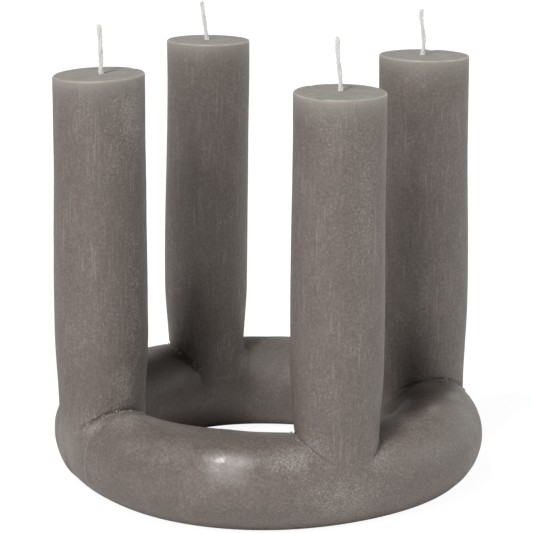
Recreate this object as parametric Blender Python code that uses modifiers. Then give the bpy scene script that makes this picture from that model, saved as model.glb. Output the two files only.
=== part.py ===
"""Advent wreath candle: a cast wax ring that carries four pillar candles, each with its cotton wick.

The ring lies on the ground plane with its centre over the origin, +Z is up, and the pillars stand near
the diagonals. Ring and pillars are one casting. Run it with blender --background --python part.py, or
from the text editor.
"""
import math
from collections import namedtuple

import bpy
import numpy as np
from mathutils import Matrix, Vector

MM = 0.001

# Ring
RING_RADIUS = 105.6 * MM          # centre of the ring to the middle of its tube
RING_CENTRE = (0.25 * MM, 0.62 * MM)
TUBE_RADIUS = 28.9 * MM
TUBE_FLAT = 1.75 * MM             # the flat underside cuts this much off the tube
# Cast by hand, the ring is out of round and its tube is thicker in some places. Each has a few lobes: how
# many go round the ring, how far they stand out in millimetres, and the bearing of one in degrees
RING_LOBES = ((2, 0.60, -61.3), (3, 0.58, 55.8), (4, 0.61, 1.4), (5, 0.80, -9.2), (6, 0.40, 7.2))
TUBE_LOBES = ((1, 0.41, 113.6), (2, 0.33, -30.9), (3, 0.31, 34.6), (4, 0.37, 0.4))
RING_SEGMENTS = 96
TUBE_SEGMENTS = 28

# Pillars: the radius at the top is each pillar's own, and the swell and the waist are shared
SWELL = 0.95 * MM                 # extra radius at the belly
SWELL_TOP = 215 * MM
SWELL_BOTTOM = 115 * MM
WAIST = 2.3 * MM                  # narrowing just above the ring
WAIST_TOP = 100 * MM
WAIST_BOTTOM = 50 * MM
PILLAR_BOTTOM = 22 * MM           # the pillar's lower end, inside the ring
FOOT_TAPER = 4 * MM               # it narrows by this much on its way there, to end under the ring's skin
RIM_BEVEL = 1.3 * MM
LEAN_BOTTOM = 100 * MM            # below this height the pillar stands plumb
TILT_DEPTH = 60 * MM              # a tilted top bends this much of the pillar's length
PILLAR_SIDES = 40
PILLAR_STEPS = 9                  # profile points between the ring and the rim

# Wicks
WICK_RADIUS = 1.25 * MM
WICK_BOTTOM = 12 * MM
WICK_CLEARANCE = 0.3 * MM
WICK_BEVEL_RESOLUTION = 2
HOLE_SIDES = 12
HOLE_BELOW = 1 * MM               # the hole ends this far below the wick
HOLE_ABOVE = 10 * MM              # the cutter stands this far out of the wax
WICK_STEPS = 6                    # points of a wick above the wax

# One pillar. Lengths here are in millimetres and bearings in degrees: bearing of its axis round the ring,
# distance from the ring's centre, radius and height of its top, shift of its foot from plumb, slope of
# its top, place of the wick on the top, the wick's sideways lean and its length above the wax
Pillar = namedtuple("Pillar", "name bearing reach radius height foot_shift slope wick_place lean showing")
PILLARS = (
    Pillar("front_left", 220.3, 106.2, 27.7, 257.3, foot_shift=(-0.6, -0.2), slope=(0.036, 0.005),
           wick_place=(0.5, 2.4), lean=(-0.8, -0.3), showing=30.0),
    Pillar("front_right", 315.2, 108.2, 27.0, 258.3, foot_shift=(-0.6, -0.3), slope=(-0.01, 0.002),
           wick_place=(-1.6, 4.8), lean=(-1.5, -0.6), showing=30.5),
    Pillar("back_right", 41.2, 101.6, 27.8, 258.5, foot_shift=(1.1, 0.5), slope=(0.0, -0.03),
           wick_place=(-1.8, 2.0), lean=(-1.4, -0.6), showing=29.0),
    Pillar("back_left", 135.9, 99.2, 26.4, 258.8, foot_shift=(-2.1, -0.9), slope=(0.004, -0.034),
           wick_place=(-1.9, 2.4), lean=(-2.9, -1.2), showing=25.5),
)

WAX_COLOUR = (0.178, 0.150, 0.132, 1.0)
WAX_ROUGHNESS = 0.5
COTTON_COLOUR = (0.76, 0.75, 0.72, 1.0)
COTTON_ROUGHNESS = 0.85
SMOOTH_ANGLE = math.radians(35)


def clear_scene():
    """Empties the scene of all its objects."""
    for old in list(bpy.data.objects):
        bpy.data.objects.remove(old, do_unlink=True)


def new_collection(name):
    """A collection linked to the scene."""
    collection = bpy.data.collections.new(name)
    bpy.context.scene.collection.children.link(collection)
    return collection


def move_to(collection, obj):
    """Links an object to one collection and to no other."""
    for old in list(obj.users_collection):
        old.objects.unlink(obj)
    collection.objects.link(obj)


def material(name, colour, roughness):
    """A Principled material of one colour."""
    made = bpy.data.materials.new(name)
    made.use_nodes = True
    shader = made.node_tree.nodes["Principled BSDF"]
    shader.inputs["Base Color"].default_value = colour
    shader.inputs["Roughness"].default_value = roughness
    shader.inputs["Metallic"].default_value = 0.0
    return made


def ease(value, start, end):
    """0 at start, 1 at end, with a level tangent at both."""
    part = np.clip((value - start) / (end - start), 0.0, 1.0)
    return part * part * (3.0 - 2.0 * part)


def settle(obj):
    """Turns an object's evaluated shape into its own mesh, in world space."""
    graph = bpy.context.evaluated_depsgraph_get()
    mesh = bpy.data.meshes.new_from_object(obj.evaluated_get(graph))
    mesh.transform(obj.matrix_world)
    obj.modifiers.clear()
    obj.data = mesh
    obj.matrix_world = Matrix.Identity(4)


def read_points(mesh):
    """The vertices of a mesh as an array with a row for each."""
    points = np.empty(len(mesh.vertices) * 3, dtype=np.float32)
    mesh.vertices.foreach_get("co", points)
    return points.reshape(-1, 3).astype(float)


def write_points(mesh, points):
    """Puts an array of points back into the mesh's vertices."""
    mesh.vertices.foreach_set("co", points.astype(np.float32).ravel())
    mesh.update()


def lobed(base, lobes, bearing):
    """A size that varies round the ring: its base and a cosine wave for each set of lobes."""
    return base + sum(rise * MM * np.cos(count * (bearing - math.radians(at))) for count, rise, at in lobes)


def tube_radius(bearing):
    """Radius of the ring's tube."""
    return lobed(TUBE_RADIUS, TUBE_LOBES, bearing)


def centreline_radius(bearing):
    """Distance of the tube's middle from the ring's centre."""
    return lobed(RING_RADIUS, RING_LOBES, bearing)


def make_ring():
    """The ring: a torus brought out of round, with a flat underside on the ground plane.

    Each vertex keeps its bearing and its step round the tube. The steps are spread evenly from one edge
    of the flat over the top to the other edge, and the lowest step lies in the middle of the flat.
    """
    bpy.ops.mesh.primitive_torus_add(
        major_segments=RING_SEGMENTS,
        minor_segments=TUBE_SEGMENTS,
        major_radius=RING_RADIUS,
        minor_radius=TUBE_RADIUS,
    )
    ring = bpy.context.object
    points = read_points(ring.data)
    bearing = np.arctan2(points[:, 1], points[:, 0])
    across = np.hypot(points[:, 0], points[:, 1]) - RING_RADIUS
    turn = np.mod(np.arctan2(points[:, 2], across), 2 * np.pi)
    step = np.rint(turn / (2 * np.pi) * TUBE_SEGMENTS)

    low_step = 0.75 * TUBE_SEGMENTS
    from_low = np.mod(step - low_step, TUBE_SEGMENTS)
    radius = tube_radius(bearing)
    middle = radius - TUBE_FLAT
    flat_edge = np.arccos(middle / radius)
    share = (from_low - 1) / (TUBE_SEGMENTS - 2)
    angle = flat_edge + share * (2 * np.pi - 2 * flat_edge) - np.pi / 2
    sideways = np.where(from_low == 0, 0.0, radius * np.cos(angle))
    height = np.where(from_low == 0, 0.0, middle + radius * np.sin(angle))

    reach = centreline_radius(bearing) + sideways
    points[:, 0] = RING_CENTRE[0] + reach * np.cos(bearing)
    points[:, 1] = RING_CENTRE[1] + reach * np.sin(bearing)
    points[:, 2] = np.maximum(height, 0.0)
    write_points(ring.data, points)
    return ring


def top_centre(pillar):
    """The middle of a pillar's top."""
    bearing = math.radians(pillar.bearing)
    reach = pillar.reach * MM
    return Vector((
        RING_CENTRE[0] + reach * math.cos(bearing),
        RING_CENTRE[1] + reach * math.sin(bearing),
        pillar.height * MM,
    ))


def pillar_radius(pillar, height):
    """Radius of a pillar at a height: that of its top, with a slight swell below and a waist at the foot."""
    swell = SWELL * ease(height, SWELL_TOP, SWELL_BOTTOM)
    waist = WAIST * ease(height, WAIST_TOP, WAIST_BOTTOM)
    return pillar.radius * MM + swell - waist


def pillar_profile(pillar):
    """Half outline of a pillar from the middle of its top, over a bevelled rim, down to its lower end."""
    top = pillar.height * MM
    heights = np.linspace(top - RIM_BEVEL, WAIST_BOTTOM - 10 * MM, PILLAR_STEPS)
    side = [(float(pillar_radius(pillar, height)), float(height)) for height in heights]
    rim = side[0][0]
    soft = RIM_BEVEL * (1 - math.cos(math.radians(45)))
    bevel = [(rim - RIM_BEVEL, top), (rim - soft, top - soft)]
    lower = [(side[-1][0] - FOOT_TAPER, PILLAR_BOTTOM), (0.0, PILLAR_BOTTOM)]
    return [(0.0, top)] + bevel + side + lower


def make_pillar(pillar):
    """A pillar: its profile turned round a plumb axis, then leaned and given its sloping top."""
    profile = [(x, 0.0, z) for x, z in pillar_profile(pillar)]
    mesh = bpy.data.meshes.new("pillar_" + pillar.name)
    mesh.from_pydata(profile, [(i, i + 1) for i in range(len(profile) - 1)], [])
    obj = bpy.data.objects.new("pillar_" + pillar.name, mesh)
    bpy.context.scene.collection.objects.link(obj)
    screw = obj.modifiers.new("turn", "SCREW")
    screw.axis = "Z"
    screw.steps = PILLAR_SIDES
    screw.render_steps = PILLAR_SIDES
    screw.use_merge_vertices = True
    screw.merge_threshold = 0.01 * MM
    settle(obj)

    points = read_points(obj.data)
    top = pillar.height * MM
    shift = ease(points[:, 2], top, LEAN_BOTTOM)
    slope = np.array(pillar.slope)
    lift = ease(points[:, 2], top - TILT_DEPTH, top) * (points[:, :2] @ slope)
    centre = top_centre(pillar)
    points[:, 0] += centre.x + shift * pillar.foot_shift[0] * MM
    points[:, 1] += centre.y + shift * pillar.foot_shift[1] * MM
    points[:, 2] += lift
    write_points(obj.data, points)
    return obj


def wick_base(pillar):
    """Where the wick leaves the wax."""
    place = Vector((pillar.wick_place[0] * MM, pillar.wick_place[1] * MM, 0.0))
    rise = pillar.wick_place[0] * MM * pillar.slope[0] + pillar.wick_place[1] * MM * pillar.slope[1]
    return top_centre(pillar) + place + Vector((0.0, 0.0, rise))


def make_hole_cutter(pillar, cutters):
    """A plumb round cutter for the wick's hole, open at the top of the wax."""
    base = wick_base(pillar)
    low = WICK_BOTTOM - HOLE_BELOW
    high = base.z + HOLE_ABOVE
    bpy.ops.mesh.primitive_cylinder_add(
        vertices=HOLE_SIDES,
        radius=(WICK_RADIUS + WICK_CLEARANCE) / math.cos(math.pi / HOLE_SIDES),
        depth=high - low,
        location=(base.x, base.y, (low + high) / 2),
    )
    cutter = bpy.context.object
    cutter.name = "hole_" + pillar.name
    cutter.hide_render = True
    cutter.display_type = "WIRE"
    move_to(cutters, cutter)


def make_wick(pillar, collection, cotton):
    """A wick: plumb inside the pillar, then leaning a little, most of it close above the wax."""
    base = wick_base(pillar)
    points = [Vector((base.x, base.y, WICK_BOTTOM)), base]
    for step in range(1, WICK_STEPS + 1):
        part = step / WICK_STEPS
        bend = 1 - (1 - part) ** 1.5
        lean = Vector((pillar.lean[0] * MM * bend, pillar.lean[1] * MM * bend, pillar.showing * MM * part))
        points.append(base + lean)
    curve = bpy.data.curves.new("wick_" + pillar.name, "CURVE")
    curve.dimensions = "3D"
    curve.bevel_depth = WICK_RADIUS
    curve.bevel_resolution = WICK_BEVEL_RESOLUTION
    curve.use_fill_caps = True
    spline = curve.splines.new("POLY")
    spline.points.add(len(points) - 1)
    for target, point in zip(spline.points, points):
        target.co = (*point, 1.0)
    curve.materials.append(cotton)
    wick = bpy.data.objects.new("wick_" + pillar.name, curve)
    collection.objects.link(wick)


def make_wax_body(collection, cutters, wax):
    """The casting: the ring and the four pillars joined into one solid, with a hole for each wick."""
    repeats = new_collection("pillars")
    for pillar in PILLARS:
        move_to(repeats, make_pillar(pillar))
    body = make_ring()
    body.name = "wax_body"
    move_to(collection, body)
    join = body.modifiers.new("join_pillars", "BOOLEAN")
    join.operation = "UNION"
    join.operand_type = "COLLECTION"
    join.collection = repeats
    join.solver = "EXACT"
    settle(body)
    for spent in list(repeats.objects):
        bpy.data.objects.remove(spent, do_unlink=True)
    bpy.data.collections.remove(repeats)

    body.data.materials.clear()
    body.data.materials.append(wax)
    for pillar in PILLARS:
        make_hole_cutter(pillar, cutters)
    holes = body.modifiers.new("wick_holes", "BOOLEAN")
    holes.operation = "DIFFERENCE"
    holes.operand_type = "COLLECTION"
    holes.collection = cutters
    holes.solver = "EXACT"
    body.data.shade_smooth()
    body.data.set_sharp_from_angle(angle=SMOOTH_ANGLE)


def main():
    """Builds the wreath: the wax body, then a wick for each pillar."""
    clear_scene()
    wreath = new_collection("advent_wreath")
    cutters = new_collection("cutters")
    wax = material("wax", WAX_COLOUR, WAX_ROUGHNESS)
    cotton = material("cotton", COTTON_COLOUR, COTTON_ROUGHNESS)
    make_wax_body(wreath, cutters, wax)
    for pillar in PILLARS:
        make_wick(pillar, wreath, cotton)


main()
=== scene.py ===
"""Looks of a wax advent wreath: the cast ring with its four pillar candles, crumbs of wax and plaited wicks.

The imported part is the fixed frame. One closed mesh of fine wax stands for the wax body, and each wick is
plaited from three yarns whose cut ends fray. Lengths are in metres, +Z is up, and a bearing is an angle
round the ring from +X towards +Y.
"""

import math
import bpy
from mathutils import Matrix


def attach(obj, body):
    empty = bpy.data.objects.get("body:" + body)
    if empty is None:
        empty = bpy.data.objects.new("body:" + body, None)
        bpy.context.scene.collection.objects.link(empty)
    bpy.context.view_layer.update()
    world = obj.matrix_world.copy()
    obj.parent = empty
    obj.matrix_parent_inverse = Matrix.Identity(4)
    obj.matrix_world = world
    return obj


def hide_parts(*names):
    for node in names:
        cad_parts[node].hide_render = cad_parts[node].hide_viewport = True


bl_info = {
    "name": "Wax advent wreath",
    "version": (1, 0, 0),
    "blender": (4, 5, 0),
    "location": "View3D > Sidebar > Wreath",
    "description": "Builds the cast wax, crumbs and plaited wicks of an advent wreath, and its pale stage",
    "category": "Add Mesh",
}

from collections import namedtuple

import bmesh
import bpy
import numpy as np
from mathutils import Vector

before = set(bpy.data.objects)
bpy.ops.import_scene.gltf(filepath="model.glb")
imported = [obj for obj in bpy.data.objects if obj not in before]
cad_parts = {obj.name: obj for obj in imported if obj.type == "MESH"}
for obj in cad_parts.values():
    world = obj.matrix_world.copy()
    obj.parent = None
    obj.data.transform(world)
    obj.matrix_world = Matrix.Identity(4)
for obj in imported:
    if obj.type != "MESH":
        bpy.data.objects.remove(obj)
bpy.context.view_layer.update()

MM = 0.001

# Ring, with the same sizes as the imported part
RING_RADIUS = 105.6 * MM          # centre of the ring to the middle of its tube
RING_CENTRE = np.array((0.25, 0.62)) * MM
TUBE_RADIUS = 28.9 * MM
TUBE_FLAT = 1.75 * MM             # the flat underside cuts this much off the tube
# Cast by hand, the ring is out of round and its tube is thicker in some places. Each has a few lobes: how
# many go round the ring, how far they stand out in millimetres, and the bearing of one in degrees
RING_LOBES = ((2, 0.60, -61.3), (3, 0.58, 55.8), (4, 0.61, 1.4), (5, 0.80, -9.2), (6, 0.40, 7.2))
TUBE_LOBES = ((1, 0.41, 113.6), (2, 0.33, -30.9), (3, 0.31, 34.6), (4, 0.37, 0.4))
RING_STEPS = 450
TUBE_STEPS = 86
PILLAR_HUMP = (18, 0.9)           # the steps gather in this many degrees round a pillar, by this much
LIP_HUMP = (1.3, 5.0)

# Pillars
WAIST_TOP = 100 * MM              # the pillar narrows just above the ring
WAIST_BOTTOM = 50 * MM
PILLAR_BOTTOM = 22 * MM
TAPER_TOP = 40 * MM               # inside the ring the pillar narrows from here
FOOT_TAPER = 7.2 * MM
SWELL_TOP = 215 * MM
SWELL_BOTTOM = 115 * MM
TILT_DEPTH = 60 * MM              # a tilted top bends this much of the pillar's length
PILLAR_SIDES = 112
TOP_SHARES = (0.035, 0.05, 0.07, 0.10, 0.14, 0.20, 0.28, 0.37, 0.47, 0.57, 0.67, 0.76, 0.84, 0.90, 0.95, 1.0)
RIM_BENDS = (18, 36, 54, 72, 90)  # degrees round the rim
SIDE_START = 2.6 * MM             # the side's first row lies this far below the top
FINE_BELOW = 84 * MM              # the side's steps are finer from here down
SIDE_STEP = 3.0 * MM
FINE_STEP = 1.6 * MM
UNEVEN_BELOW = 240 * MM           # a pillar's whole grid is uneven below this height, and only its side above

# Creases: between these heights the wide low rounding gives way to the narrow one, and the groove sets in
MERGE_HEIGHTS = (33 * MM, 44 * MM)
GROOVE_HEIGHTS = (38 * MM, 50 * MM)
GROOVE_REACH = 1.5 * MM
LEAST_ROUNDING = 0.8 * MM

# Tidying of the mesh along the creases: the band that is relaxed, the heights between which it lies, and the
# passes, each with the band whose edges are halved and the longest edge left there, in millimetres, or none
SEAM_MERGE = 0.22 * MM            # points closer than this are merged first
SEAM_BAND = 9 * MM
SEAM_HEIGHTS = (20 * MM, 120 * MM)
SEAM_PASSES = (None, (5, 1.1), (4, 0.8), None, None)

# One pillar. Lengths are in millimetres and angles in degrees: bearing of its axis round the ring, distance
# from the ring's centre, radius and height of its top, shift of its foot from plumb and the heights between
# which it shifts, swell of its belly, narrowing just above the ring, radius of its rim and slope of its top
Pillar = namedtuple(
    "Pillar", "name bearing reach radius height foot_shift lean_heights swell waist rim slope"
)
PILLARS = (
    Pillar("front_left", 220.3, 106.2, 27.7, 257.3, foot_shift=(-0.6, -0.2), lean_heights=(205, 135),
           swell=0.9, waist=2.1, rim=1.4, slope=(0.036, 0.005)),
    Pillar("front_right", 315.2, 108.2, 27.0, 258.3, foot_shift=(-0.6, -0.3), lean_heights=(250, 170),
           swell=0.7, waist=2.6, rim=1.0, slope=(-0.01, 0.002)),
    Pillar("back_right", 41.2, 101.6, 27.8, 258.5, foot_shift=(1.1, 0.5), lean_heights=(230, 110),
           swell=0.6, waist=1.8, rim=1.1, slope=(0.0, -0.03)),
    Pillar("back_left", 135.9, 99.2, 26.4, 258.8, foot_shift=(-2.1, -0.9), lean_heights=(250, 100),
           swell=0.6, waist=2.6, rim=1.1, slope=(0.004, -0.034)),
)

# Depth in millimetres of the hollow that each top has in front of its wick, and its reach
HOLLOWS = {"front_left": 0.55, "front_right": 0.25, "back_right": 0.25, "back_left": 0.25}
HOLLOW_REACH = 1.9 * MM

# The wax climbs a wick by this many millimetres, and comes down from the start over the reach
CLIMB_RISE = 0.3
CLIMB_START = 1.1 * MM
CLIMB_REACH = 0.55 * MM

# A chip or dent in a rim: angle on the top in degrees, then its width and depth in millimetres
CHIPS = {
    "front_left": ((-118, 3.0, 0.35), (62, 4.0, 0.3)),
    "front_right": ((-93, 4.6, 0.75), (150, 3.5, 0.3)),
    "back_right": ((-50, 3.5, 0.3), (100, 5.0, 0.45)),
    "back_left": ((-84, 3.0, 0.3), (10, 4.0, 0.35)),
}

# Where the castings of two arcs of the ring meet under a pillar, one end stands proud as a thin lip:
# bearing of the lip, the way its slope falls off (1 is with the bearing), its rise in millimetres, the number
# of degrees in which the rise fades, and the strength of the painted highlight line along its edge. A lip
# bends back by LIP_BEND degrees towards its ends
Lip = namedtuple("Lip", "bearing way rise fade pale")
LIPS = (
    Lip(222.6, -1, 1.1, 14, 0.0),
    Lip(235.8, 1, 0.9, 16, 0.7),
    Lip(57.5, 1, 0.7, 14, 0.5),
    Lip(121.5, -1, 0.8, 16, 0.5),
)
LIP_BEND = 1.4
LIP_MIDDLE = 27 * MM
LIP_HALF = 20 * MM

# A wick: its place on the top, the way it leans as points of sideways shift and height above the wax, the
# turn of the plait in degrees, its width, and how far each yarn's cut end spreads sideways and upwards.
# Sideways is along the picture's right, and all lengths are in millimetres
Wick = namedtuple("Wick", "name place path turn width ends")
WICKS = (
    Wick("front_left", (0.5, 2.4), ((-0.3, 19.0), (-0.9, 28.9)), 8, 2.9,
         ((-0.75, 0.1), (0.05, 0.0), (0.75, -0.2))),
    Wick("front_right", (-1.6, 4.8), ((-0.75, 11.8), (-1.95, 23.5), (-1.75, 30.4)), 30, 2.6,
         ((-0.75, 0.3), (0.0, -0.2), (0.6, -0.5))),
    Wick("back_right", (-1.8, 2.0), ((0.7, 6.9), (0.05, 15.0), (-1.0, 22.6), (-0.7, 27.8)), 35, 2.5,
         ((-0.75, -0.3), (-0.1, -0.1), (0.5, 0.2))),
    Wick("back_left", (-1.9, 2.4), ((-1.85, 13.2), (-3.3, 24.3)), 20, 2.6,
         ((-0.75, -0.4), (0.05, -0.5), (0.55, 0.4))),
)
WICK_BOTTOM = 12 * MM
WICK_STEP = 0.25 * MM
YARN_SIDES = 14
YARN_PLIES = 3
LAY = 3.2 * MM                    # a ply goes once round its yarn in this length
FRAYED = 6 * MM                   # the yarns part over this length below the cut end
SOAKED_HEIGHTS = (3.0 * MM, 4.6 * MM)
LOOSE_FIBRES = 4
FIBRE_SIDES = 5
PICTURE_RIGHT = np.array((0.9205, 0.3907, 0.0))
PICTURE_NEAR = np.array((0.3907, -0.9205, 0.0))

# Patches of pale frosting and rubbed wax: middle in millimetres, reach in millimetres and strength
Patch = namedtuple("Patch", "place reach strength")
FROSTS = (
    Patch((-53.6, -76.2, 236), (14, 14, 26), 0.9),
    Patch((-53.5, -76.8, 120), (9, 9, 60), 0.6),
    Patch((-57.6, -82.5, 70), (12, 12, 20), 0.8),
    Patch((-49.7, -98, 53), (18, 16, 9), 0.9),
    Patch((63, -112, 47), (14, 12, 9), 0.9),
    Patch((92, -99, 22), (34, 30, 16), 0.75),
    Patch((70, -102, 51), (12, 10, 12), 0.8),
    Patch((104, -77, 45), (10, 10, 14), 0.8),
    Patch((99.5, -90.5, 200), (10, 10, 50), 0.5),
    Patch((103, -37, 56), (12, 14, 6), 0.9),
    Patch((113, -10, 55), (5, 16, 5), 1.0),
    Patch((114, 24, 54), (5, 14, 6), 1.0),
    Patch((-66, -81, 54), (10, 8, 8), 1.0),
    Patch((-86, 50, 55), (12, 12, 9), 0.5),
    Patch((-52, 84, 60), (9, 9, 10), 0.8),
    Patch((30, 128, 40), (50, 16, 20), 0.6),
    Patch((-128, 20, 40), (14, 40, 20), 0.6),
    Patch((-72, -97, 46), (12, 8, 8), 1.0),
    Patch((88, 37, 57), (16, 12, 8), 0.9),
)

# Patches of other kinds: wax polished by touch, a painted glow of light on the ring's outer side, feet that
# run into the ring without a crease, creases with a painted highlight line, wax left matt, and painted shade:
# a deeper tone where shadow falls
POLISHED = (Patch((26, -123, 46), (66, 24, 15), 1.0),)
# Painted glow: the glow colour stands in for light falling on the ring's lower outer side
PAINTED_GLOWS = (
    Patch((-96, -90, 30), (17, 17, 15), 0.42),
    Patch((-122, -46, 30), (12, 20, 18), 0.2),
    Patch((130, 5, 38), (12, 30, 20), 0.15),
)
MELTED = (Patch((-47, 66, 44), (20, 20, 16), 1.0),)
# Painted highlight: a pale line along the front left pillar's left crease
CREASE_HIGHLIGHTS = (Patch((-106, -70, 40), (14, 14, 12), 0.6),)
MATT = (Patch((-22, 86, 50), (40, 24, 24), 1.0),)
# Painted shade: a deeper tone where shadow falls along the front left pillar's right side, on the back arc
# and on the back left pillar and its foot
PAINTED_SHADE = (
    Patch((-53.4, -73, 110), (4, 8, 85), 0.68),
    Patch((-32, 72, 44), (34, 28, 30), 0.62),
    Patch((-74, 40, 52), (16, 16, 18), 0.45),
    Patch((-66, 47, 120), (18, 14, 70), 0.3),
)

# Marks on the wax's vertices: how far the creases' mark, which carries their painted shade, reaches, the
# heights between which it sets in, how far their painted highlight lines reach, how deep the painted glow of
# light seeping in below the tops goes and by how much that varies, and the half width of the painted
# highlight line of a rim and of a lip
CREASE_MARK = 3.2 * MM
CREASE_MARK_HEIGHTS = (32 * MM, 47 * MM)
CREASE_HIGHLIGHT_WIDTH = 0.9 * MM
GLOW_DEPTH = 6.5 * MM
GLOW_WAVE = 0.7 * MM
RIM_HIGHLIGHT_WIDTH = 0.42 * MM
LIP_HIGHLIGHT_WIDTH = 0.28                   # degrees

# How light spreads inside the wax
SEEPING = {"Subsurface_Weight": 0.16, "Subsurface_Radius": (1.0, 0.85, 0.7)}

# Crumbs: how dark the crease is where they lie, the heights between which they set in, and the rows and
# columns of one of them
CRUMB_MARK = 0.55
CRUMB_HEIGHTS = (30 * MM, 40 * MM)
CRUMB_GRID = (4, 8)

# Camera and picture
CAMERA_PLACE = (0.61689, -1.45515, 0.5170)
CAMERA_AZIMUTH = math.radians(23.0)
CAMERA_PITCH = math.radians(13.8)
LENS = 177.4
SENSOR = 36.0
SHIFT = (0.0, 0.0073)

# A far soft light: degrees to the right of the camera's side, degrees above the floor and degrees of its
# width, then the setting that its strength is a share of, that share, and its tint
Light = namedtuple("Light", "name azimuth elevation width setting share tint")
WARM, PLAIN, COOL, COLD = (1.03, 1.0, 0.985), (1.0, 1.0, 1.0), (0.98, 1.0, 0.99), (0.97, 1.0, 0.98)
LIGHTS = (
    Light("key_low", -23, 15, 24, "key", 0.5, WARM),
    Light("key_high", -27, 38, 12, "key", 0.5, WARM),
    Light("overhead_front", -31, 61, 7, "overhead", 1.0, PLAIN),
    Light("side_high", 82, 30, 34, "side", 0.5, COOL),
    Light("side_low", 95, 10, 40, "side", 0.5, COOL),
    Light("side_left", -110, 30, 34, "left", 1.0, COOL),
    Light("rear_right", 142, 11, 36, "rear", 0.45, COLD),
    Light("rear_low", 180, 14, 50, "rear", 0.55, COLD),
)
FLOOR_HALF = 20.0
FLOOR_SEEN = -0.2 * MM            # height of the floor that the camera sees
FLOOR_BOUNCE = -0.6 * MM          # height of the floor that throws light back


def length(name, about, default):
    """A length that a user may change."""
    return bpy.props.FloatProperty(
        name=name, description=about, default=default, min=0.0, unit="LENGTH", subtype="DISTANCE", precision=5
    )


def share(name, about, default):
    """A factor that a user may change."""
    return bpy.props.FloatProperty(name=name, description=about, default=default, min=0.0, soft_max=2.0)


def colour(name, about, default):
    """A colour that a user may change."""
    return bpy.props.FloatVectorProperty(
        name=name, description=about, default=default, size=3, min=0.0, max=1.0, subtype="COLOR"
    )


class WaxSettings(bpy.types.PropertyGroup):
    """Sizes and colours of the wax."""

    crease: length("Crease", "Width of the rounding where a pillar runs into the ring", 1.7 * MM)
    merge: length("Merge", "How much wider that rounding is low down, where both run together", 5.5 * MM)
    groove: length("Groove", "Depth of the groove along the creases", 0.9 * MM)
    unevenness: length("Unevenness", "How far the hand-cast skin strays from its true form", 0.22 * MM)
    dish: length("Dish", "How far a top sinks inside its rim", 0.55 * MM)
    crumb: length("Crumb", "Size of the larger crumbs in the creases", 0.85 * MM)
    crumbs: bpy.props.IntProperty(name="Crumbs", description="Number of crumbs", default=330, min=0)
    body: colour("Body", "Colour of the wax", (0.173, 0.141, 0.124))
    shade: colour("Shade", "Darker mottling of the wax", (0.149, 0.121, 0.107))
    # Also the colour of the painted shade in the creases and in the deep patches
    pit_and_shade: colour("Pit", "Colour of small pits and of the depth of the creases", (0.085, 0.072, 0.064))
    # The glow is painted light: it stands in for light that seeps through the wax below the tops
    glow: colour("Glow", "Colour of the sides close below the tops", (0.372, 0.346, 0.308))
    # The tops' colour is partly their own paler wax and partly painted light that the level tops catch
    top: colour("Top", "Colour of the tops", (0.335, 0.312, 0.276))
    # The edge colour is a painted highlight line on rims, lips and some creases
    edge: colour("Edge", "Colour of rims and lips", (0.61, 0.60, 0.56))
    frost: colour("Frost", "Colour of frosting and scratches", (0.43, 0.39, 0.36))


class WickSettings(bpy.types.PropertyGroup):
    """Sizes and colours of the wicks."""

    yarn: length("Yarn", "Radius of one of the three yarns", 0.74 * MM)
    pitch: length("Pitch", "Length of one full crossing of the plait", 36.0 * MM)
    cotton: colour("Cotton", "Colour of the cotton", (0.80, 0.80, 0.785))
    waxed: colour("Waxed", "Colour of the cotton where it is soaked with wax", (0.93, 0.925, 0.90))
    # The hollow colour is painted shade between the fibres
    hollow: colour("Hollow", "Colour between the fibres", (0.55, 0.545, 0.52))


class StageSettings(bpy.types.PropertyGroup):
    """Colours and strengths of the floor and the lights."""

    floor: colour("Floor", "Colour of the floor", (0.20, 0.20, 0.199))
    key: share("Key", "Irradiance of the two large lights at the left front", 0.455)
    side: share("Side", "Irradiance of the two lights at the right", 0.31)
    left: share("Left", "Irradiance of the weak light at the left", 0.065)
    overhead: share("Overhead", "Irradiance of the small light high above the front", 0.44)
    rear: share("Rear", "Irradiance of the two lights behind", 0.25)
    glow: share("Glow", "Light that the visible floor adds of itself, so that it shows nearly white", 0.93)
    surroundings: share("Surroundings", "Brightness of the surroundings", 0.03)
    bounce: share("Bounce", "Share of the light that the floor throws back up", 0.97)


def ease(value, start, end):
    """0 at start, 1 at end, with a level tangent at both."""
    part = np.clip((value - start) / (end - start), 0.0, 1.0)
    return part * part * (3.0 - 2.0 * part)


def ripple(points, wavelength, seed, waves=9):
    """An uneven field of about -1 to 1: the scaled sum of sine waves that run in seeded directions.

    Their lengths lie between 0.7 and 1.5 times the given one.
    """
    chance = np.random.default_rng(seed)
    ways = chance.normal(size=(waves, 3))
    lengths = wavelength * chance.uniform(0.7, 1.5, waves)
    ways *= (2 * np.pi / lengths / np.linalg.norm(ways, axis=1))[:, None]
    phases = chance.uniform(0, 2 * np.pi, waves)
    return np.sin(points @ ways.T + phases).sum(axis=1) * math.sqrt(2 / waves) / 1.6


def patchwork(points, patches):
    """The strongest of some patches at each point: a bell that fades with the distance from its middle."""
    bells = [
        patch.strength * np.exp(-(((points / MM - patch.place) / patch.reach) ** 2).sum(axis=1))
        for patch in patches
    ]
    return np.max(bells, axis=0)


def smooth_least(first, second, width):
    """The lesser of two distances, rounded off by a parabola where they differ by less than the width."""
    near = np.maximum(width - np.abs(first - second), 0.0) / width
    return np.minimum(first, second) - near * near * width / 4


def lobed(base, lobes, bearing):
    """A size that varies round the ring: its base and a cosine wave for each set of lobes."""
    return base + sum(rise * MM * np.cos(count * (bearing - math.radians(at))) for count, rise, at in lobes)


def tube_radius(bearing):
    """Radius of the ring's tube."""
    return lobed(TUBE_RADIUS, TUBE_LOBES, bearing)


def centreline_radius(bearing):
    """Distance of the tube's middle from the ring's centre."""
    return lobed(RING_RADIUS, RING_LOBES, bearing)


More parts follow.
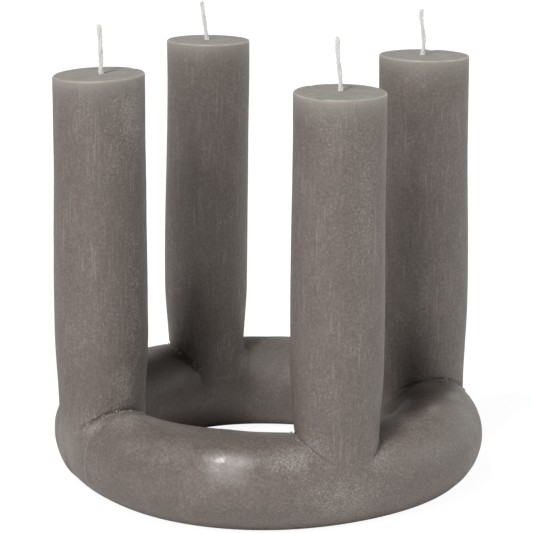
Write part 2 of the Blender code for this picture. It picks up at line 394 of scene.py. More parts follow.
def level_reach(across):
    """How far each place lies from the middle in the level plane."""
    return np.hypot(across[:, 0], across[:, 1])


def round_ring(points):
    """Each point's bearing round the ring, and its distance outwards from the tube's middle line."""
    across = points[:, :2] - RING_CENTRE
    bearing = np.arctan2(across[:, 1], across[:, 0])
    return bearing, level_reach(across) - centreline_radius(bearing)


def past_lip(lip, bearing, height):
    """How many degrees a place lies past a lip, on the side where the lip stands proud."""
    bend = LIP_BEND * ((height - LIP_MIDDLE) / LIP_HALF) ** 2
    return ((np.degrees(bearing) + bend - lip.bearing + 180) % 360 - 180) * lip.way


def lip_level(height, outward):
    """1 where lips stand at the ring's outer side, fading to 0 above, below and towards the tube's middle."""
    level = ease(height, 5 * MM, 16 * MM) * (1 - ease(height, 42 * MM, 53 * MM))
    return level * ease(outward, 0.0, 12 * MM)


def casting_lips(bearing, height, outward):
    """How far the ends of the ring's arcs stand proud: a sharp step that fades one way."""
    proud = np.zeros_like(bearing)
    for lip in LIPS:
        past = past_lip(lip, bearing, height)
        proud += lip.rise * MM * ease(past, -0.25, 0.25) * (1 - ease(past, 0.3, lip.fade))
    return proud * lip_level(height, outward)


def ring_relief(points, unevenness):
    """How far the ring's skin strays outwards: long and short waves, none at the underside, and the lips."""
    bearing, outward = round_ring(points)
    waves = ripple(points, 62 * MM, 11) + 0.35 * ripple(points, 17 * MM, 12)
    waves += 0.12 * ripple(points, 7 * MM, 13)
    free = ease(points[:, 2], 0.5 * MM, 7 * MM)
    return unevenness * waves * free + casting_lips(bearing, points[:, 2], outward)


def ring_gap(points, unevenness):
    """Distance outside the ring's skin: distance to the tube's middle line less the tube's radius."""
    bearing, outward = round_ring(points)
    radius = tube_radius(bearing)
    from_middle = np.hypot(outward, points[:, 2] - (radius - TUBE_FLAT))
    return from_middle - radius - ring_relief(points, unevenness)


def top_centre(pillar):
    """The middle of a pillar's top, as x, y and z."""
    bearing = math.radians(pillar.bearing)
    reach = pillar.reach * MM
    return np.array((
        RING_CENTRE[0] + reach * math.cos(bearing),
        RING_CENTRE[1] + reach * math.sin(bearing),
        pillar.height * MM,
    ))


def axis_at(pillar, height):
    """Where a pillar's axis is at each height: it shifts towards its foot between its two lean heights."""
    high, low = pillar.lean_heights
    shift = ease(height, high * MM, low * MM)[..., None]
    return top_centre(pillar)[:2] + shift * np.array(pillar.foot_shift) * MM


def radius_at(pillar, height):
    """Radius of a pillar at each height: its top's, with a swell, a waist and a taper inside the ring."""
    swell = pillar.swell * MM * ease(height, SWELL_TOP, SWELL_BOTTOM)
    waist = pillar.waist * MM * ease(height, WAIST_TOP, WAIST_BOTTOM)
    taper = FOOT_TAPER * np.maximum(TAPER_TOP - height, 0.0) / (TAPER_TOP - PILLAR_BOTTOM)
    return pillar.radius * MM + swell - waist - taper


def pillar_relief(points, pillar, unevenness):
    """How far a pillar's skin strays outwards: upright flutes and dents, each pillar with its own seeds."""
    seed = int(pillar.bearing)
    upright = points * np.array((1.0, 1.0, 0.3))
    waves = 0.6 * ripple(upright, 34 * MM, seed) + 0.25 * ripple(upright, 11 * MM, seed + 1)
    return unevenness * (waves + 0.12 * ripple(points, 6 * MM, seed + 2))


def pillar_gap(points, pillar, unevenness):
    """Distance outside a pillar's side: distance to its axis less its radius."""
    across = points[:, :2] - axis_at(pillar, points[:, 2])
    skin = radius_at(pillar, points[:, 2]) + pillar_relief(points, pillar, unevenness)
    return level_reach(across) - skin


def nearest_pillar_gap(points, unevenness):
    """Distance outside the nearest pillar's side."""
    return np.min([pillar_gap(points, pillar, unevenness) for pillar in PILLARS], axis=0)


def crease_width(points, settings):
    """Width of the rounding in the creases: it varies by a third along them, and is far wider low down."""
    low = np.maximum(1 - ease(points[:, 2], *MERGE_HEIGHTS), patchwork(points, MELTED))
    return settings.crease * (1.0 + 0.33 * ripple(points, 26 * MM, 21)) + settings.merge * low


def crease_groove(points, ring, pillars, settings):
    """Depth of the groove at each point: a bell round the line where ring and pillar meet.

    It comes and goes along the line, and there is none low down.
    """
    uneven = np.clip(0.8 + 0.6 * ripple(points, 21 * MM, 22), 0.1, 1.5)
    bell = np.exp(-(ring ** 2 + pillars ** 2) / GROOVE_REACH ** 2)
    sharp = ease(points[:, 2], *GROOVE_HEIGHTS) * (1 - patchwork(points, MELTED))
    return settings.groove * uneven * bell * sharp


def wax_gap(points, settings):
    """Distance outside the wax below the tops: the smooth least of the ring's and the pillars' distances."""
    ring = ring_gap(points, settings.unevenness)
    pillars = nearest_pillar_gap(points, settings.unevenness)
    joined = smooth_least(ring, pillars, np.maximum(crease_width(points, settings), LEAST_ROUNDING))
    return joined + crease_groove(points, ring, pillars, settings)


def grid_faces(rows, columns, closed_rows=False):
    """Quads between the neighbours of a grid that is numbered row by row and closed along each row."""
    row = np.arange(rows if closed_rows else rows - 1)[:, None]
    column = np.arange(columns)[None, :]
    above = (row + 1) % rows * columns
    beside = (column + 1) % columns
    here = row * columns
    corners = np.broadcast_arrays(here + column, here + beside, above + beside, above + column)
    return np.stack(corners, axis=-1).reshape(-1, 4)


def cap_faces(first, columns, pole, outward):
    """Triangles that close a row of points onto a pole."""
    column = np.arange(columns)
    ahead, behind = first + (column + 1) % columns, first + column
    pair = (ahead, behind) if outward else (behind, ahead)
    return np.stack((*pair, np.full(columns, pole)), axis=-1)


def closed_faces(rows, columns, downward):
    """Faces of a closed grid: its quads, and a cap at its first row and at its last.

    The poles of the two caps follow the grid's points, and the rows run up, or else downward.
    """
    count = rows * columns
    body = grid_faces(rows, columns)
    first = cap_faces(0, columns, count, outward=not downward)
    last = cap_faces(count - columns, columns, count + 1, outward=downward)
    return [body[:, ::-1] if downward else body, first, last]


def make_mesh(name, points, faces):
    """A smooth mesh object from an array of points and a list of arrays of faces."""
    mesh = bpy.data.meshes.new(name)
    rows = [row for block in faces for row in block.tolist()]
    mesh.from_pydata(points.tolist(), [], rows)
    mesh.validate()
    mesh.shade_smooth()
    obj = bpy.data.objects.new(name, mesh)
    bpy.context.scene.collection.objects.link(obj)
    return obj


def read_points(mesh, what="co"):
    """The places of a mesh's vertices, or their normals, as an array with a row for each."""
    values = np.empty(len(mesh.vertices) * 3, dtype=np.float32)
    mesh.vertices.foreach_get(what, values)
    return values.reshape(-1, 3).astype(float)


def write_points(mesh, points):
    """Puts an array of points back into the mesh's vertices."""
    mesh.vertices.foreach_set("co", points.astype(np.float32).ravel())
    mesh.update()


def ring_bearings():
    """Bearings of the ring's steps: they gather at the pillars, and closely at the lips of the castings.

    The running sum of a density over the whole turn is read off at even values. The density is 1, with a
    broad hump at each pillar and a narrow one at each lip.
    """
    fine = np.linspace(0, 360, 7201)
    density = np.ones_like(fine)
    humps = [(pillar.bearing, *PILLAR_HUMP) for pillar in PILLARS]
    humps += [(lip.bearing, *LIP_HUMP) for lip in LIPS]
    for middle, reach, rise in humps:
        away = (fine - middle + 180) % 360 - 180
        density += rise * np.exp(-(away / reach) ** 2)
    total = np.concatenate(([0.0], np.cumsum((density[1:] + density[:-1]) / 2)))
    return np.radians(np.interp(np.arange(RING_STEPS) / RING_STEPS * total[-1], total, fine))


def ring_mesh(settings):
    """The ring: a grid of bearings and turns round the tube, swept round the out-of-round centreline.

    The turns are even from one edge of the flat underside over the top to its other edge, with one more
    column in the middle of the flat.
    """
    bearing = ring_bearings()[:, None]
    radius = tube_radius(bearing)
    middle = radius - TUBE_FLAT
    flat_edge = np.arccos(middle / radius)
    part = (np.arange(TUBE_STEPS - 1) / (TUBE_STEPS - 2))[None, :]
    turn = flat_edge + part * (2 * np.pi - 2 * flat_edge) - np.pi / 2
    outward = np.hstack((radius * np.cos(turn), np.zeros_like(bearing)))
    height = np.hstack((middle + radius * np.sin(turn), np.zeros_like(bearing)))
    reach = centreline_radius(bearing) + outward
    across = np.stack((reach * np.cos(bearing), reach * np.sin(bearing)), axis=-1) + RING_CENTRE
    points = np.concatenate((across, np.maximum(height, 0.0)[..., None]), axis=-1).reshape(-1, 3)

    side = np.stack((
        (outward * np.cos(bearing)).ravel(),
        (outward * np.sin(bearing)).ravel(),
        (height - middle).ravel(),
    ), axis=-1)
    side /= np.linalg.norm(side, axis=1)[:, None]
    points += side * (ring_relief(points, settings.unevenness) * ease(points[:, 2], 0.0, 1 * MM))[:, None]
    points[:, 2] = np.maximum(points[:, 2], 0.0)
    return make_mesh("cast_wax", points, [grid_faces(RING_STEPS, TUBE_STEPS, closed_rows=True)[:, ::-1]])


def wick_base(pillar, wick):
    """Where a wick leaves the wax: its place on the top, raised by the top's slope."""
    place = np.array(wick.place) * MM
    return top_centre(pillar) + np.array((*place, place @ np.array(pillar.slope)))


def top_relief(pillar, wick, across, settings):
    """Height of a top over its plane, for places given from its middle.

    The top sinks inside the rim, has a small hollow in front of the wick, and the wax climbs the wick.
    """
    reach = level_reach(across)
    edge = pillar.radius * MM - pillar.rim * MM
    places = np.column_stack((across, np.zeros(len(across))))
    inside = 1 - ease(reach, 0.70 * edge, 0.99 * edge)
    waves = 0.16 * ripple(places, 15 * MM, int(pillar.bearing) + 5) + 0.06 * ripple(places, 5 * MM, 6)
    from_wick = across - np.array(wick.place) * MM
    hollow = np.linalg.norm(from_wick - HOLLOW_REACH * PICTURE_NEAR[:2], axis=1) / HOLLOW_REACH
    climb = (level_reach(from_wick) - CLIMB_START) / CLIMB_REACH
    low = settings.dish * inside + HOLLOWS[pillar.name] * MM * np.exp(-hollow ** 2)
    return MM * (waves * inside + CLIMB_RISE * np.exp(-np.maximum(climb, 0.0) ** 2)) - low


def rim_chips(pillar, angle):
    """Depth of the chips in a rim at each angle: a few smooth notches."""
    depth = np.zeros_like(angle)
    for where, width, deep in CHIPS[pillar.name]:
        away = (np.degrees(angle) - where + 180) % 360 - 180
        arc = np.radians(away) * pillar.radius / (width / 2)
        depth += deep * MM * np.exp(-arc ** 2)
    return depth


def pillar_points(pillar, wick, settings):
    """The rows of a pillar's grid: outwards over its top from the wick, round the rim and down the side.

    A top row lies a share of the way from the wick to the rim, a rim row on a quarter circle, and a side row
    at one height. Each row is then moved by the pillar's relief, lean and tilt.
    """
    angle = 2 * np.pi * np.arange(PILLAR_SIDES) / PILLAR_SIDES
    way = np.column_stack((np.cos(angle), np.sin(angle)))
    top = pillar.height * MM
    worn = pillar.rim * MM * (1 + 0.22 * ripple(np.column_stack((way, way[:, 0])), 1.1, int(pillar.bearing)))
    chip = rim_chips(pillar, angle)
    start = np.array(wick.place) * MM
    edge = (pillar.radius * MM - worn - 0.6 * chip)[:, None] * way

    rows = []
    for part in TOP_SHARES:
        across = start + part * (edge - start)
        height = top + top_relief(pillar, wick, across, settings) - chip * ease(part, 0.8, 1.0)
        rows.append(np.column_stack((across, height)))
    for bend in np.radians(RIM_BENDS):
        out = (pillar.radius * MM - worn - 0.6 * chip * math.cos(bend) + worn * math.sin(bend))[:, None]
        drop = worn * (1 - math.cos(bend)) + chip * (1 - math.sin(bend) ** 3)
        rows.append(np.column_stack((out * way, top - drop)))
    below = np.arange(top - SIDE_START, FINE_BELOW, -SIDE_STEP)
    near = np.arange(below[-1] - FINE_STEP, PILLAR_BOTTOM, -FINE_STEP)
    for height in (*below, *near, PILLAR_BOTTOM):
        out = radius_at(pillar, np.full(PILLAR_SIDES, height))[:, None]
        rows.append(np.column_stack((out * way, np.full(PILLAR_SIDES, height))))
    return np.array(rows)


def pillar_mesh(pillar, wick, settings):
    """A closed pillar from its rows, with a pole at the wick and one at its lower end."""
    rows = pillar_points(pillar, wick, settings)
    start = np.append(np.array(wick.place) * MM, pillar.height * MM)
    low = np.array((0.0, 0.0, PILLAR_BOTTOM))
    points = np.vstack((rows.reshape(-1, 3), start, low))

    lift = ease(points[:, 2], (pillar.height * MM) - TILT_DEPTH, pillar.height * MM)
    lift = lift * (points[:, :2] @ np.array(pillar.slope))
    reach = np.maximum(level_reach(points), 1e-9)
    way = points[:, :2] / reach[:, None]
    side = ease(reach, 0.9 * pillar.radius * MM, 0.985 * pillar.radius * MM)
    side[-1] = 0.0
    points[:, :2] += axis_at(pillar, points[:, 2])
    relief = pillar_relief(points, pillar, settings.unevenness)
    relief = relief * np.maximum(side, points[:, 2] < UNEVEN_BELOW)
    points[:, :2] += way * relief[:, None]
    points[:, 2] += lift
    return make_mesh("pillar_" + pillar.name, points, closed_faces(len(rows), PILLAR_SIDES, downward=True))


def apply_modifiers(obj):
    """Turns an object's evaluated shape into its own mesh."""
    graph = bpy.context.evaluated_depsgraph_get()
    mesh = bpy.data.meshes.new_from_object(obj.evaluated_get(graph))
    obj.modifiers.clear()
    obj.data = mesh


def join_pillars(ring, pillars):
    """Joins the ring and the pillars into one closed solid."""
    for pillar in pillars:
        join = ring.modifiers.new(pillar.name, "BOOLEAN")
        join.operation = "UNION"
        join.solver = "MANIFOLD"
        join.object = pillar
    apply_modifiers(ring)
    for pillar in pillars:
        bpy.data.objects.remove(pillar, do_unlink=True)


def refine(work, chosen, limit):
    """Halves the edges between chosen vertices that are longer than a limit, and triangulates their faces."""
    long_edges = [
        edge for edge in work.edges
        if edge.calc_length() > limit and chosen[edge.verts[0].index] and chosen[edge.verts[1].index]
    ]
    bmesh.ops.subdivide_edges(work, edges=long_edges, cuts=1, use_grid_fill=True)
    bmesh.ops.triangulate(work, faces=[face for face in work.faces if len(face.verts) > 4])


def tidy_seam(obj, settings):
    """Evens out the mesh near the creases: merges slivers, halves long edges, relaxes it and puts it back."""
    work = bmesh.new()
    work.from_mesh(obj.data)
    bmesh.ops.remove_doubles(work, verts=work.verts, dist=SEAM_MERGE)
    bmesh.ops.dissolve_degenerate(work, edges=work.edges, dist=0.02 * MM)
    bmesh.ops.triangulate(work, faces=[face for face in work.faces if len(face.verts) > 4])
    work.to_mesh(obj.data)
    work.free()
    for halving in SEAM_PASSES:
        points = read_points(obj.data)
        work = bmesh.new()
        work.from_mesh(obj.data)
        if halving:
            width, limit = halving
            work.verts.index_update()
            refine(work, crease_band(points, settings, width * MM), limit * MM)
            work.to_mesh(obj.data)
            points = read_points(obj.data)
        band = crease_band(points, settings, SEAM_BAND)
        work.verts.ensure_lookup_table()
        chosen = [work.verts[i] for i in np.flatnonzero(band)]
        bmesh.ops.smooth_vert(
            work, verts=chosen, factor=0.5, use_axis_x=True, use_axis_y=True, use_axis_z=True
        )
        work.to_mesh(obj.data)
        work.free()
        write_points(obj.data, put_on_skin(read_points(obj.data), band, settings))


def crease_band(points, settings, width):
    """Which points lie near both the ring and a pillar, clear of the underside and the tops."""
    ring = np.abs(ring_gap(points, settings.unevenness))
    pillars = np.abs(nearest_pillar_gap(points, settings.unevenness))
    low, high = SEAM_HEIGHTS
    return (ring < width) & (pillars < width) & (points[:, 2] > low) & (points[:, 2] < high)


def put_on_skin(points, chosen, settings):
    """Moves the chosen points onto the wax's skin: three Newton steps down the slope of the gap."""
    moved = points[chosen]
    reach = 0.05 * MM
    for _ in range(3):
        gap = wax_gap(moved, settings)
        slope = np.empty_like(moved)
        for axis, off in enumerate(reach * np.eye(3)):
            slope[:, axis] = (wax_gap(moved + off, settings) - wax_gap(moved - off, settings)) / (2 * reach)
        steep = np.maximum((slope ** 2).sum(axis=1), 0.25)
        moved = moved - (gap / steep)[:, None] * slope
    result = points.copy()
    result[chosen] = moved
    return result


def height_over_top(points, pillar):
    """Height over a pillar's sloping top plane, negative below it."""
    across = points[:, :2] - top_centre(pillar)[:2]
    return points[:, 2] - pillar.height * MM - across @ np.array(pillar.slope)


def paint(mesh, name, values):
    """Stores one number for each vertex, for the material to read."""
    layer = mesh.attributes.new(name, "FLOAT", "POINT")
    layer.data.foreach_set("value", np.clip(values, 0.0, 1.0).astype(np.float32))


def top_marks(points):
    """The painted glow close below the tops, the tops, and the painted highlight lines of their rims.

    The painted glow falls off exponentially with the depth below a top and stands in for light that seeps
    through the wax. The line is a bell of the distance from the middle of the rim's rounding.
    """
    marks = np.zeros((3, len(points)))
    depth = GLOW_DEPTH + GLOW_WAVE * ripple(points, 12 * MM, 31)
    for pillar in PILLARS:
        over = height_over_top(points, pillar)
        across = points[:, :2] - top_centre(pillar)[:2]
        reach = level_reach(across)
        radius, rim = pillar.radius * MM, pillar.rim * MM
        glow = np.exp(np.minimum(over, 0.0) / depth)
        top = ease(radius - reach, 0.5 * rim, 1.2 * rim) * ease(over, -4 * MM, -2 * MM)
        off = np.hypot(reach - (radius - 0.35 * rim), over + 0.35 * rim)
        line = np.exp(-(off / RIM_HIGHLIGHT_WIDTH) ** 2)
        marks = np.where(reach < 1.3 * radius, np.maximum(marks, (glow, top, line)), marks)
    return marks


def paint_wax(mesh, settings):
    """Paints the marks that the wax's material reads.

    The rim mark is a painted glow close below the tops and in a few patches, standing in for light that seeps
    through the wax, an edge is a painted highlight line on a rim, a lip or a crease, the crease mark also
    carries the creases' painted shade, and the side is 1 on the pillars. Frost is pale, rubbed wax: it drifts
    in clouds, and gathers in patches and by the creases. Polish and matt are patches, and deep is patches of
    painted shade.
    """
    points = read_points(mesh)
    ring = ring_gap(points, settings.unevenness)
    pillars = nearest_pillar_gap(points, settings.unevenness)
    # The crease mark is nearness to a crease; the material darkens it as painted shade
    crease = np.exp(-(np.maximum(np.maximum(ring, pillars), 0.0) / CREASE_MARK) ** 2)
    crease *= ease(points[:, 2], *CREASE_MARK_HEIGHTS)
    side = ease(ring - pillars, -3 * MM, 3 * MM)

    glow, top, edge = top_marks(points)
    bearing, outward = round_ring(points)
    on_ring = lip_level(points[:, 2], outward) * (1 - side)
    # Painted highlight lines along the lips' edges
    for lip in LIPS:
        line = np.exp(-((past_lip(lip, bearing, points[:, 2]) - 0.2) / LIP_HIGHLIGHT_WIDTH) ** 2)
        edge = np.maximum(edge, lip.pale * line * on_ring)
    # Painted highlight line along a crease, kept where the crease highlight patches lie
    line = crease * np.exp(-((ring - pillars) / CREASE_HIGHLIGHT_WIDTH) ** 2)

    frost = 0.30 * ease(ripple(points, 38 * MM, 41) + 0.5 * ripple(points, 13 * MM, 42), 0.1, 1.2)
    frost = np.maximum(frost, patchwork(points, FROSTS))
    marks = {
        # Painted glow below the tops and in the painted glow patches
        "rim": np.maximum(glow, patchwork(points, PAINTED_GLOWS)),
        "top": top,
        # Painted highlight lines on rims, lips and some creases
        "edge": np.maximum(edge, line * patchwork(points, CREASE_HIGHLIGHTS)),
        "crease": crease,
        "side": side,
        "frost": np.maximum(frost, (0.8 - 0.6 * side) * crease) * (1 - 0.8 * top),
        "polish": patchwork(points, POLISHED),
        "matt": patchwork(points, MATT),
        # Painted shade patches
        "deep": patchwork(points, PAINTED_SHADE),
    }
    for name, values in marks.items():
        paint(mesh, name, values)


def make_wax(settings):
    """The whole casting as one closed mesh."""
    ring = ring_mesh(settings)
    pillars = [pillar_mesh(pillar, wick, settings) for pillar, wick in zip(PILLARS, WICKS)]
    join_pillars(ring, pillars)
    tidy_seam(ring, settings)
    ring.data.shade_smooth()
    paint_wax(ring.data, settings)
    return ring


def lump(rows, columns):
    """Points and faces of a small closed ball: rows of latitude between two poles."""
    tilt = np.pi * (np.arange(1, rows + 1) / (rows + 1))[:, None]
    angle = 2 * np.pi * (np.arange(columns) / columns)[None, :]
    ball = np.stack(np.broadcast_arrays(
        np.sin(tilt) * np.cos(angle), np.sin(tilt) * np.sin(angle), np.cos(tilt)
    ), axis=-1).reshape(-1, 3)
    points = np.vstack((ball, (0.0, 0.0, 1.0), (0.0, 0.0, -1.0)))
    return points, closed_faces(rows, columns, downward=True)


def scatter_crumbs(wax, settings):
    """Crumbs of wax in the creases: uneven balls, each half sunk in the skin at a seeded vertex."""
    chance = np.random.default_rng(5)
    mesh = wax.data
    points = read_points(mesh)
    normals = read_points(mesh, "normal")
    crease = np.empty(len(points), dtype=np.float32)
    mesh.attributes["crease"].data.foreach_get("value", crease)
    weight = np.clip(crease - CRUMB_MARK, 0.0, 1.0) * ease(ripple(points, 16 * MM, 51), -0.2, 0.9)
    weight *= ease(points[:, 2], *CRUMB_HEIGHTS)
    chosen = chance.choice(len(points), settings.crumbs, replace=False, p=weight / weight.sum())
    ball, faces = lump(*CRUMB_GRID)
    size = settings.crumb * chance.uniform(0.3, 1.0, (settings.crumbs, 1)) ** 1.6
    shape = size[..., None] * chance.uniform(0.6, 1.4, (settings.crumbs, 1, 3))
    uneven = 1 + 0.25 * chance.normal(size=(settings.crumbs, len(ball), 1)).clip(-1.5, 1.5)
    bodies = ball[None] * shape * uneven
    middle = points[chosen] + normals[chosen] * (0.15 * size)
    everything = (bodies + middle[:, None, :]).reshape(-1, 3)
    start = (np.arange(settings.crumbs) * len(ball))[:, None, None]
    blocks = [(block[None] + start).reshape(-1, block.shape[1]) for block in faces]
    return make_mesh("wax_crumbs", everything, blocks)


def tube(path, radii, sides, plies=0, lay=1.0):
    """Points and faces of a closed tube: level rows round a rising path, with a pole at each end.

    With plies, the radius swells and sinks round each row, and this pattern turns once in each lay.
    """
    rise = path[:, 2:3]
    angle = 2 * np.pi * (np.arange(sides) / sides)[None, :]
    swell = 1 + (0.10 * np.cos(plies * angle - 2 * np.pi * rise / lay) if plies else 0.0)
    around = np.broadcast_to(radii[:, None] * swell, (len(path), sides))
    ring = np.stack((around * np.cos(angle), around * np.sin(angle), np.zeros_like(around)), axis=-1)
    points = np.vstack(((path[:, None, :] + ring).reshape(-1, 3), path[0], path[-1]))
    return points, closed_faces(len(path), sides, downward=False)


def wick_shift(wick, above):
    """Sideways shift of a wick at each height over the wax: the polynomial through its path's points."""
    shifts = [0.0] + [shift for shift, _ in wick.path]
    heights = [0.0] + [height for _, height in wick.path]
    curve = np.polyfit(heights, shifts, len(heights) - 1)
    return np.polyval(curve, np.maximum(above / MM, 0.0)) * MM


def yarn_path(wick, base, number, settings):
    """The middle line of one yarn: the plait's figure of eight, then a spread towards its own cut end.

    Across the plait a yarn swings by the sine of its turn, and through it by the sine of twice the turn.
    """
    sideways, upward = np.array(wick.ends[number]) * MM
    top = wick.path[-1][1] * MM + upward
    above = np.concatenate(([WICK_BOTTOM - base[2], -4 * MM], np.arange(-2 * MM, top, WICK_STEP), [top]))
    turn = 2 * np.pi * (np.maximum(above, -4 * MM) / settings.pitch + number / 3)
    swing = wick.width / 2 * MM - settings.yarn
    spread = ease(above, top - FRAYED, top)
    twist = math.radians(wick.turn)
    flat = math.cos(twist) * PICTURE_RIGHT + math.sin(twist) * PICTURE_NEAR
    through = -math.sin(twist) * PICTURE_RIGHT + math.cos(twist) * PICTURE_NEAR
    path = base + above[:, None] * np.array((0.0, 0.0, 1.0))
    path = path + (wick_shift(wick, above) + spread * sideways)[:, None] * PICTURE_RIGHT
    path += ((1 - spread) * swing * np.sin(turn))[:, None] * flat
    path += ((1 - 0.6 * spread) * 0.5 * settings.yarn * np.sin(2 * turn))[:, None] * through
    return path


def make_wick(pillar, wick, settings):
    """A wick: three yarns of three plies each, plaited flat, with loose fibres at the cut ends."""
    base = wick_base(pillar, wick)
    chance = np.random.default_rng(int(pillar.bearing))
    points, faces, start = [], [], 0
    for number in range(3):
        path = yarn_path(wick, base, number, settings)
        end = ease(np.arange(len(path)), len(path) - 7, len(path) - 1)
        soaked = 1 - ease(path[:, 2] - base[2], *SOAKED_HEIGHTS)
        radii = settings.yarn * (1 - 0.35 * end + 0.18 * soaked)
        parts = [tube(path, radii, YARN_SIDES, plies=YARN_PLIES, lay=LAY)]
        for _ in range(LOOSE_FIBRES):
            reach = chance.uniform(0.4, 1.1) * MM
            part = np.linspace(0, 1, 6)[:, None]
            drift = chance.normal(size=3) * (0.35, 0.35, 0.0) * MM
            root = path[-2] + chance.normal(size=3) * (0.2, 0.2, 0.0) * MM
            fibre = root + part * (0, 0, reach) + part ** 2 * drift
            parts.append(tube(fibre, np.linspace(0.09, 0.03, 6) * MM, FIBRE_SIDES))
        for block, rows in parts:
            points.append(block)
            faces += [row + start for row in rows]
            start += len(block)
    made = make_mesh("plaited_wick_" + wick.name, np.vstack(points), faces)
    above = read_points(made.data)[:, 2] - base[2]
    paint(made.data, "soaked", 1 - ease(above, *SOAKED_HEIGHTS))
    return made


class Socket:
    """A value that varies over the surface: an output of a node, with sums written as in Python."""

    def __init__(self, shading, output):
        self.shading = shading
        self.output = output

    def sum(self, operation, *values):
        """A Math node on these values."""
        inputs = dict(enumerate(values))
        return self.shading.node("ShaderNodeMath", {"operation": operation}, inputs)

    def __add__(self, other):
        return self.sum("ADD", self, other)

    def __sub__(self, other):
        return self.sum("SUBTRACT", self, other)

    def __rsub__(self, other):
        return self.sum("SUBTRACT", other, self)

    def __mul__(self, other):
        return self.sum("MULTIPLY", self, other)

    def most(self, other):
        """The greater of two values."""
        return self.sum("MAXIMUM", self, other)

    def least(self, other):
        """The lesser of two values."""
        return self.sum("MINIMUM", self, other)

    __radd__ = __add__
    __rmul__ = __mul__


class Shading:
    """The node tree of one material."""

    def __init__(self, name):
        self.material = bpy.data.materials.new(name)
        self.material.use_nodes = True
        self.tree = self.material.node_tree
        self.surface = self.tree.nodes["Principled BSDF"]

    def node(self, kind, settings=None, inputs=None, output=0):
        """A node of a type: its settings come first, then the values or links of its sockets."""
        made = self.tree.nodes.new(kind)
        for name, value in (settings or {}).items():
            setattr(made, name, value)
        self.plug(made, inputs or {})
        return Socket(self, made.outputs[output])

    def plug(self, made, inputs):
        """Sets or links the sockets of a node."""
        for name, value in inputs.items():
            if isinstance(value, Socket):
                self.tree.links.new(value.output, made.inputs[name])
            else:
                made.inputs[name].default_value = value

    def place(self):
        """The place on the object in millimetres."""
        spot = self.node("ShaderNodeTexCoord", output="Object")
        return self.stretch(spot, (1000, 1000, 1000))

    def stretch(self, vector, factors):
        """A vector with its parts multiplied."""
        return self.node("ShaderNodeVectorMath", {"operation": "MULTIPLY"}, {0: vector, 1: factors})

    def painted(self, name):
        """A number stored on the mesh's vertices."""
        return self.node("ShaderNodeAttribute", {"attribute_name": name}, output="Fac")

    def noise(self, vector, size, detail=2.0, rough=0.5, swirl=0.0):
        """Cloudy noise of about 0.3 to 0.7, whose features are about this many millimetres across."""
        inputs = {"Vector": vector, "Scale": 1 / size, "Detail": detail}
        inputs.update({"Roughness": rough, "Distortion": swirl})
        return self.node("ShaderNodeTexNoise", {"noise_dimensions": "3D"}, inputs)

    def rise(self, value, low, high):
        """0 below low, 1 above high, with a smooth step between."""
        inputs = {"Value": value, "From Min": low, "From Max": high}
        return self.node("ShaderNodeMapRange", {"interpolation_type": "SMOOTHSTEP"}, inputs)

    def mix(self, factor, first, second):
        """Two colours mixed by a factor."""
        inputs = {0: factor, 6: first, 7: second}
        return self.node("ShaderNodeMix", {"data_type": "RGBA"}, inputs, output=2)

    def bump(self, height, strength, distance=MM):
        """A normal tilted by a height in millimetres."""
        inputs = {"Height": height, "Strength": strength, "Distance": distance}
        return self.node("ShaderNodeBump", {}, inputs)

    def finish(self, **inputs):
        """Plugs the named sockets of the surface, with spaces written as underscores."""
        self.plug(self.surface, {name.replace("_", " "): value for name, value in inputs.items()})
        return self.material


def rgba(values):
    """A colour with full alpha."""
    return (*values, 1.0)


